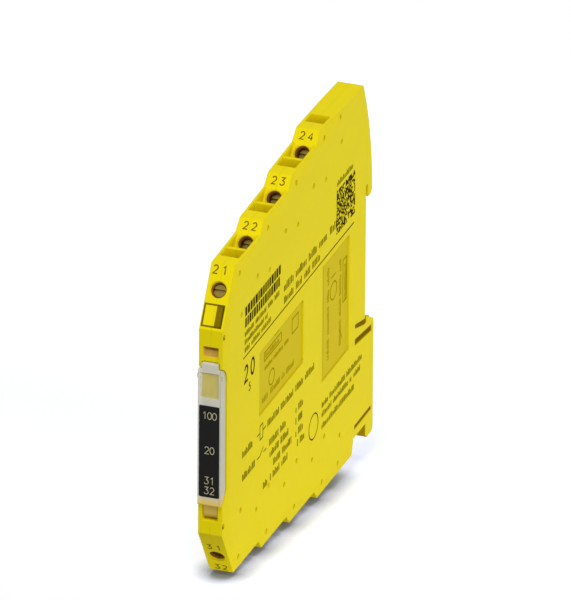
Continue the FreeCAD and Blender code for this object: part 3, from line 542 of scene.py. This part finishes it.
class Finish:
    """One material: a principled shader, and the nodes that vary it over the surface."""

    def __init__(self, name, color, roughness, **settings):
        self.material = bpy.data.materials.new(name)
        self.material.use_nodes = True
        self.nodes, self.links = self.material.node_tree.nodes, self.material.node_tree.links
        self.shader = self.nodes["Principled BSDF"]
        self.coordinates = self.nodes.new("ShaderNodeTexCoord").outputs["Object"]
        self.color = srgb(color)
        self.set("Base Color", self.color)
        self.set("Roughness", roughness)
        for socket, value in settings.items():
            self.set(socket.replace("_", " "), value)

    def set(self, socket, value):
        self.shader.inputs[socket].default_value = value

    def join(self, value, socket):
        self.links.new(value, socket)

    def tint(self, color):
        self.join(color, self.shader.inputs["Base Color"])

    def axes(self):
        """Places on the piece along x, y and z, in metres."""
        split = self.nodes.new("ShaderNodeSeparateXYZ")
        self.join(self.coordinates, split.inputs[0])
        return split.outputs

    def math(self, operation, a, b=0.0):
        node = self.nodes.new("ShaderNodeMath")
        node.operation = operation
        for socket, value in zip(node.inputs, (a, b)):
            if isinstance(value, (int, float)):
                socket.default_value = value
            else:
                self.join(value, socket)
        return node.outputs[0]

    def noise(self, size, detail, stretch=(1, 1, 1)):
        """Noise from 0 to 1 with features of about the given size in mm."""
        mapping = self.nodes.new("ShaderNodeMapping")
        mapping.inputs["Scale"].default_value = stretch
        self.join(self.coordinates, mapping.inputs["Vector"])
        node = self.nodes.new("ShaderNodeTexNoise")
        node.inputs["Scale"].default_value = 1 / (size * MM)
        node.inputs["Detail"].default_value = detail
        self.join(mapping.outputs[0], node.inputs["Vector"])
        return node.outputs["Fac"]

    def mix(self, factor, a, b):
        node = self.nodes.new("ShaderNodeMix")
        node.data_type = "RGBA"
        for index, value in zip(MIX_INPUTS, (factor, a, b)):
            if isinstance(value, tuple):
                node.inputs[index].default_value = value
            else:
                self.join(value, node.inputs[index])
        return node.outputs[MIX_OUTPUT]

    def shades(self, factor, amount, color=None):
        """A colour that swings a little darker and lighter with a factor."""
        color = color or self.color
        dark = (*(c * (1 - amount) for c in color[:3]), 1.0)
        light = (*(min(1.0, c * (1 + amount)) for c in color[:3]), 1.0)
        return self.mix(factor, dark, light)

    def inside(self, y_span, z_span, x_span=None):
        """1 inside a box given by spans in mm on the part, 0 outside."""
        axes, total = self.axes(), None
        for span, axis, shift in ((x_span, 0, 0.0), (y_span, 1, FRONT_Y), (z_span, 2, MIDDLE_Z)):
            if span is None:
                continue
            middle, half = (span[0] + span[1]) / 2 + shift, (span[1] - span[0]) / 2
            off = self.math("ABSOLUTE", self.math("SUBTRACT", axes[axis], middle * MM))
            part = self.math("LESS_THAN", off, half * MM)
            total = part if total is None else self.math("MULTIPLY", total, part)
        return total

    def rising(self, low, high):
        """0 below one height in mm on the part, 1 above another, with an even slope between."""
        slope = self.nodes.new("ShaderNodeMapRange")
        self.join(self.axes()[2], slope.inputs["Value"])
        slope.inputs["From Min"].default_value = (MIDDLE_Z + low) * MM
        slope.inputs["From Max"].default_value = (MIDDLE_Z + high) * MM
        return slope.outputs[0]

    def from_step(self, place, steps=TERMINALS):
        """Offsets in metres rearwards and outwards from a place that repeats at each step, and x."""
        axes = self.axes()
        level = self.math("ABSOLUTE", self.math("SUBTRACT", axes[2], MIDDLE_Z * MM))
        y = self.math("SUBTRACT", axes[1], (FRONT_Y + place[0]) * MM)
        z = self.math("SUBTRACT", level, place[1] * MM)
        index = self.math("ROUND", self.math("DIVIDE", y, STEP[0] * MM))
        index = self.math("MINIMUM", self.math("MAXIMUM", index, 0.0), steps - 1.0)
        return (self.math("SUBTRACT", y, self.math("MULTIPLY", index, STEP[0] * MM)),
                self.math("SUBTRACT", z, self.math("MULTIPLY", index, STEP[1] * MM)), axes[0])

    def length(self, a, b):
        return self.math("SQRT", self.math("ADD", self.math("POWER", a, 2.0), self.math("POWER", b, 2.0)))

    def screw_holes(self):
        """1 in the mouths of the screw holes, above and below, where the holes' shade is painted; 0
        elsewhere.
        """
        y, z, x = self.from_step((TIP[0] + SCREW_FROM_TIP[0], TIP[1] + SCREW_FROM_TIP[1]))
        tilt = math.radians(SCREW_TILT)
        along = self.math("SUBTRACT", self.math("MULTIPLY", y, math.cos(tilt)),
                          self.math("MULTIPLY", z, math.sin(tilt)))
        across = self.math("ADD", self.math("MULTIPLY", y, math.sin(tilt)),
                           self.math("MULTIPLY", z, math.cos(tilt)))
        return self.math("MULTIPLY", self.math("LESS_THAN", self.length(across, x), HOLE_R * MM),
                         self.math("LESS_THAN", self.math("ABSOLUTE", along), HOLE_DEPTH * MM))

    def round_marks(self):
        """1 in the round marks of the sides, where their shade is painted; 0 elsewhere."""
        last = [TIP[k] + STEP[k] * (TERMINALS - 1) + LAST_MARK_FROM_TIP[k] for k in (0, 1)]
        places = [((TIP[0] + y, TIP[1] + z), TERMINALS) for y, z in MARKS_FROM_TIP]
        total = 0.0
        for place, steps in places + [(last, 1), (FRONT_MARK, 1)]:
            y, z, _ = self.from_step(place, steps)
            total = self.math("MAXIMUM", self.math("LESS_THAN", self.length(y, z), MARK_R * MM), total)
        return total

    def uneven(self, factor, low, high):
        """Lets the roughness follow a factor between two limits."""
        node = self.nodes.new("ShaderNodeMapRange")
        node.inputs["To Min"].default_value, node.inputs["To Max"].default_value = low, high
        self.join(factor, node.inputs["Value"])
        self.join(node.outputs[0], self.shader.inputs["Roughness"])

    def relief(self, height, depth, edge=0.0):
        """Fine relief of a depth in mm, over edges that are rounded by a radius in mm."""
        bump = self.nodes.new("ShaderNodeBump")
        bump.inputs["Strength"].default_value = 1.0
        bump.inputs["Distance"].default_value = depth * MM
        self.join(height, bump.inputs["Height"])
        if edge:
            bevel = self.nodes.new("ShaderNodeBevel")
            bevel.samples = BEVEL_SAMPLES
            bevel.inputs["Radius"].default_value = edge * MM
            self.join(bevel.outputs[0], bump.inputs["Normal"])
        self.join(bump.outputs[0], self.shader.inputs["Normal"])


def yellow_plastic(name, windows=()):
    """Satin moulded plastic: flow marks, fine grain, the parting line; painted amber bounce light in the
    recess, and painted shade in the slots, the holes and the round marks.
    """
    finish = Finish(name, YELLOW, YELLOW_ROUGHNESS, Specular_IOR_Level=YELLOW_SPECULAR)
    color = finish.shades(finish.noise(*FLOW), FLOW_SWING)
    # The recess gets painted amber bounce light and the foot's slots painted shade; the windows take the
    # relays' own colour
    fields = [(window, WINDOW_YELLOW) for window in windows] + [(RECESS, LENS_AND_BOUNCE_AMBER), (FOOT_SLOTS, PAINTED_SLOT_SHADE)]
    for spans, tone in fields:
        color = finish.mix(finish.inside(*spans), color, srgb(tone))
    # Painted shade in the round marks
    color = finish.mix(finish.round_marks(), color, srgb(PAINTED_MARK_SHADE))
    # Painted shade in the mouths of the screw holes
    color = finish.mix(finish.screw_holes(), color, srgb(PAINTED_HOLE_SHADE))
    seam = finish.math("MULTIPLY", finish.inside(*SEAM), SEAM_SHARE)
    finish.tint(finish.mix(seam, color, srgb(SOFT_INK)))
    finish.uneven(finish.noise(*WEAR), *WEAR_LIMITS)
    finish.relief(finish.noise(*YELLOW_GRAIN), YELLOW_GRAIN_DEPTH, YELLOW_EDGE)
    return finish.material


def plain_plastic(name):
    """Moulded or coated surface with a slight swing of tone and a fine grain."""
    color, roughness, swing, grain, depth, specular = PLAIN[name]
    finish = Finish(name, color, roughness, Specular_IOR_Level=specular)
    finish.tint(finish.shades(finish.noise(*PLAIN_TONE), swing))
    finish.uneven(finish.noise(*PLAIN_WEAR), *(roughness * share for share in PLAIN_WEAR_SHARES))
    finish.relief(finish.noise(grain, PLAIN_GRAIN_DETAIL), depth, PLAIN_EDGE)
    return finish.material


def milky_cover(name):
    """Translucent cover: milky walls, a clearer field over the yellow plastic behind it with that plastic's
    lit yellow and streaks painted in, and an amber hinge of painted bounce light.
    """
    finish = Finish(name, MILKY, COVER_ROUGHNESS, Specular_IOR_Level=COVER_SPECULAR)
    view, front = finish.inside(*VIEW), finish.inside(*COVER_FRONT)
    milky = finish.shades(finish.noise(*COVER_TONE), COVER_SWING)
    # Painted bounce light: amber low on the cover, fading to milky above
    color = finish.mix(finish.rising(*HINGE_FADE), srgb(PAINTED_HINGE_BOUNCE), milky)
    # Painted light: lit yellow and streaks of the plastic behind, on the view
    seen_through_paint = finish.shades(finish.noise(*VIEW_TONE), VIEW_SWING, srgb(PAINTED_VIEW_YELLOW))
    finish.tint(finish.mix(view, color, seen_through_paint))
    clearer = finish.math("ADD", finish.math("MULTIPLY", view, VIEW_CLEARER),
                          finish.math("MULTIPLY", front, FRONT_CLEARER))
    finish.join(finish.math("SUBTRACT", COVER_OPAQUE, clearer), finish.shader.inputs["Alpha"])
    finish.relief(finish.noise(*COVER_RELIEF), COVER_RELIEF_DEPTH, COVER_EDGE)
    return finish.material


def clear_plastic(name, color, opaque):
    finish = Finish(name, color, CLEAR_ROUGHNESS, Alpha=opaque)
    finish.tint(finish.shades(finish.noise(*CLEAR_TONE), CLEAR_SWING))
    finish.relief(finish.noise(*CLEAR_RELIEF), CLEAR_RELIEF_DEPTH)
    return finish.material


def machined_metal(name):
    """Bare metal with fine tool marks and a slight tarnish."""
    color, roughness, stretch = METALS[name]
    finish = Finish(name, color, roughness, Metallic=1.0)
    finish.tint(finish.shades(finish.noise(*TARNISH), TARNISH_SWING))
    finish.uneven(finish.noise(*SHEEN, stretch), *(roughness * share for share in SHEEN_SHARES))
    finish.relief(finish.noise(*TOOL_MARKS, stretch), TOOL_MARK_DEPTH, METAL_EDGE)
    return finish.material


def circuit_green(name):
    """Solder mask over faint tracks."""
    finish = Finish(name, BOARD_GREEN, BOARD_ROUGHNESS)
    wave = finish.nodes.new("ShaderNodeTexWave")
    wave.inputs["Scale"].default_value = TRACK_SCALE
    wave.inputs["Distortion"].default_value = TRACK_DISTORTION
    finish.join(finish.coordinates, wave.inputs["Vector"])
    finish.tint(finish.shades(wave.outputs["Fac"], TRACK_SWING))
    finish.relief(wave.outputs["Fac"], TRACK_DEPTH)
    return finish.material


def dress(material, names):
    """Gives CAD nodes their finish."""
    for name in names:
        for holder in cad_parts[name].material_slots:
            holder.material = material


def starting(stems):
    """Names of the nodes that start with one of the stems."""
    return [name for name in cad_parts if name.startswith(stems)]


def dress_all():
    dress(yellow_plastic("yellow_plastic"), ["left_shell", "rail_latch"])
    dress(yellow_plastic("yellow_plastic_windows", WINDOWS), ["right_shell"])
    dress(milky_cover("milky_cover"), ["front_cover"])
    dress(clear_plastic("clear_guide", CLEAR, GUIDE_OPAQUE), ["light_guide"])
    dress(clear_plastic("amber_lens", LENS_AND_BOUNCE_AMBER, LENS_OPAQUE), ["status_leds"])
    dress(circuit_green("circuit_green"), ["circuit_board"])
    for name, pieces in PLAIN_PIECES.items():
        dress(plain_plastic(name), pieces)
    for name, stems in METAL_PIECES.items():
        dress(machined_metal(name), starting(stems))
    pressed_spring(machined_metal("spring_wire"))


def pressed_spring(material):
    """The latch's spring as a piece with a mesh of its own, held by the housing, with the CAD node hidden."""
    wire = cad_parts["latch_spring"]
    spring = add_object("pressed_spring", wire.data.copy())
    spring.matrix_world = wire.matrix_world
    spring.data.materials.clear()
    spring.data.materials.append(material)
    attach(spring, "housing")
    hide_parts("latch_spring")
    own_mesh(spring)


def print_all():
    """Each piece of print with what draws it, the body that carries it and its ink."""
    for name, draw, body, ink in (("side_print", side_print, "housing", "ink"),
                                  ("relay_print", relay_print, "housing", "faint_ink"),
                                  ("terminal_numbers", terminal_print, "housing", "soft_ink"),
                                  ("label_legend", legend_print, "cover", "legend_ink")):
        piece = Print(name)
        draw(piece)
        piece.finish(body, plain_plastic(ink))


# Stage, light and camera

def background_share(nodes, links):
    """1 for rays that see the background straight, in a mirror or through glass."""
    path = nodes.new("ShaderNodeLightPath")
    total = path.outputs["Is Camera Ray"]
    for ray in ("Is Glossy Ray", "Is Transmission Ray"):
        add = nodes.new("ShaderNodeMath")
        add.operation, add.use_clamp = "ADD", True
        links.new(total, add.inputs[0])
        links.new(path.outputs[ray], add.inputs[1])
        total = add.outputs[0]
    return total


def white_sky():
    world = bpy.data.worlds.new("sky")
    bpy.context.scene.world = world
    world.use_nodes = True
    nodes, links = world.node_tree.nodes, world.node_tree.links
    level = nodes.new("ShaderNodeMapRange")
    level.inputs["To Min"].default_value = SKY_LEVEL
    links.new(background_share(nodes, links), level.inputs["Value"])
    links.new(level.outputs[0], nodes["Background"].inputs["Strength"])
    nodes["Background"].inputs["Color"].default_value = WHITE


def pale_floor():
    """Small floor along the lower steps, on which the part's shadow lies."""
    tip_y, tip_z = (FRONT_Y + TIP[0]) * MM, (MIDDLE_Z - TIP[1] - FLOOR_GAP) * MM
    corners = [(FLOOR_X[i], FLOOR_Y[j], tip_z - (FLOOR_Y[j] - tip_y) * STEP[1] / STEP[0])
               for i, j in ((0, 0), (1, 0), (1, 1), (0, 1))]
    mesh = bpy.data.meshes.new("floor")
    mesh.from_pydata(corners, [], [(0, 1, 2, 3)])
    mesh.materials.append(floor_material())
    floor = add_object("floor", mesh)


def floor_material():
    """Looks white, keeps the shadow, has a painted contact shadow close to the part, and is clear from below.
    """
    material = bpy.data.materials.new("floor")
    material.use_nodes = True
    nodes, links = material.node_tree.nodes, material.node_tree.links
    nodes.clear()

    def toned(kind, color):
        node = nodes.new(kind)
        node.inputs["Color"].default_value = color
        return node.outputs[0]

    def joined(kind, *sources):
        node = nodes.new(kind)
        for socket, source in zip(node.inputs, sources):
            links.new(source, socket)
        return node.outputs[0]

    plain, shaded, contact = (toned("ShaderNodeBsdfDiffuse", tone)
                              for tone in (FLOOR_WHITE, FLOOR_SHADE, CONTACT_DARK))
    lit = joined("ShaderNodeAddShader", shaded, toned("ShaderNodeEmission", FLOOR_GLOW))
    # Painted contact shadow: a darker tone where the part is close
    near = joined("ShaderNodeMixShader", open_share(nodes, links), contact, lit)
    seen = joined("ShaderNodeMixShader", background_share(nodes, links), plain, near)
    below = nodes.new("ShaderNodeNewGeometry").outputs["Backfacing"]
    whole = joined("ShaderNodeMixShader", below, seen, nodes.new("ShaderNodeBsdfTransparent").outputs[0])
    links.new(whole, nodes.new("ShaderNodeOutputMaterial").inputs["Surface"])
    return material


def open_share(nodes, links):
    """1 on open floor, falling to 0 where the part is close."""
    near, share = nodes.new("ShaderNodeAmbientOcclusion"), nodes.new("ShaderNodeMapRange")
    near.inputs["Distance"].default_value = CONTACT_REACH * MM
    share.inputs["From Min"].default_value = CONTACT_OPEN
    links.new(near.outputs["AO"], share.inputs["Value"])
    return share.outputs[0]


def from_aim(azimuth, elevation):
    """Direction from the part towards a place given by azimuth and elevation in degrees."""
    az, el = math.radians(azimuth), math.radians(elevation)
    return Vector((math.sin(az) * math.cos(el), -math.cos(az) * math.cos(el), math.sin(el)))


def facing(back, roll=0.0):
    """Rotation that looks against a direction, level but for the roll in degrees."""
    right = Vector((-back.y, back.x, 0)).normalized()
    turn = Matrix.Rotation(math.radians(roll), 3, back)
    return Matrix((turn @ right, turn @ back.cross(right), back)).transposed().to_4x4()


def soft_lamp(name, azimuth, elevation, level, size):
    """Square soft light that lifts a surface facing it by the given level."""
    lamp = bpy.data.lights.new(name, "AREA")
    lamp.shape, lamp.size = "SQUARE", size
    lamp.energy = level * (math.pi * LAMP_DISTANCE) ** 2
    back = from_aim(azimuth, elevation)
    centre = (Vector(CAD_BOX[0]) + Vector(CAD_BOX[1])) / 2
    add_object(name, lamp).matrix_world = Matrix.Translation(centre + back * LAMP_DISTANCE) @ facing(back)


def photo_camera():
    data = bpy.data.cameras.new("camera")
    data.lens, data.sensor_width = CAMERA_LENS, CAMERA_SENSOR
    camera = add_object("camera", data)
    back = from_aim(CAMERA_AZIMUTH, CAMERA_ELEVATION)
    place = (Vector(CAMERA_AIM) + back * CAMERA_DISTANCE) * MM
    camera.matrix_world = Matrix.Translation(place) @ facing(back, CAMERA_ROLL)
    bpy.context.scene.camera = camera


dress_all()
print_all()
white_sky()
pale_floor()
for lamp_name, lamp_settings in LAMPS.items():
    soft_lamp(lamp_name, *lamp_settings)
photo_camera()
bpy.context.scene.view_settings.view_transform = "Standard"
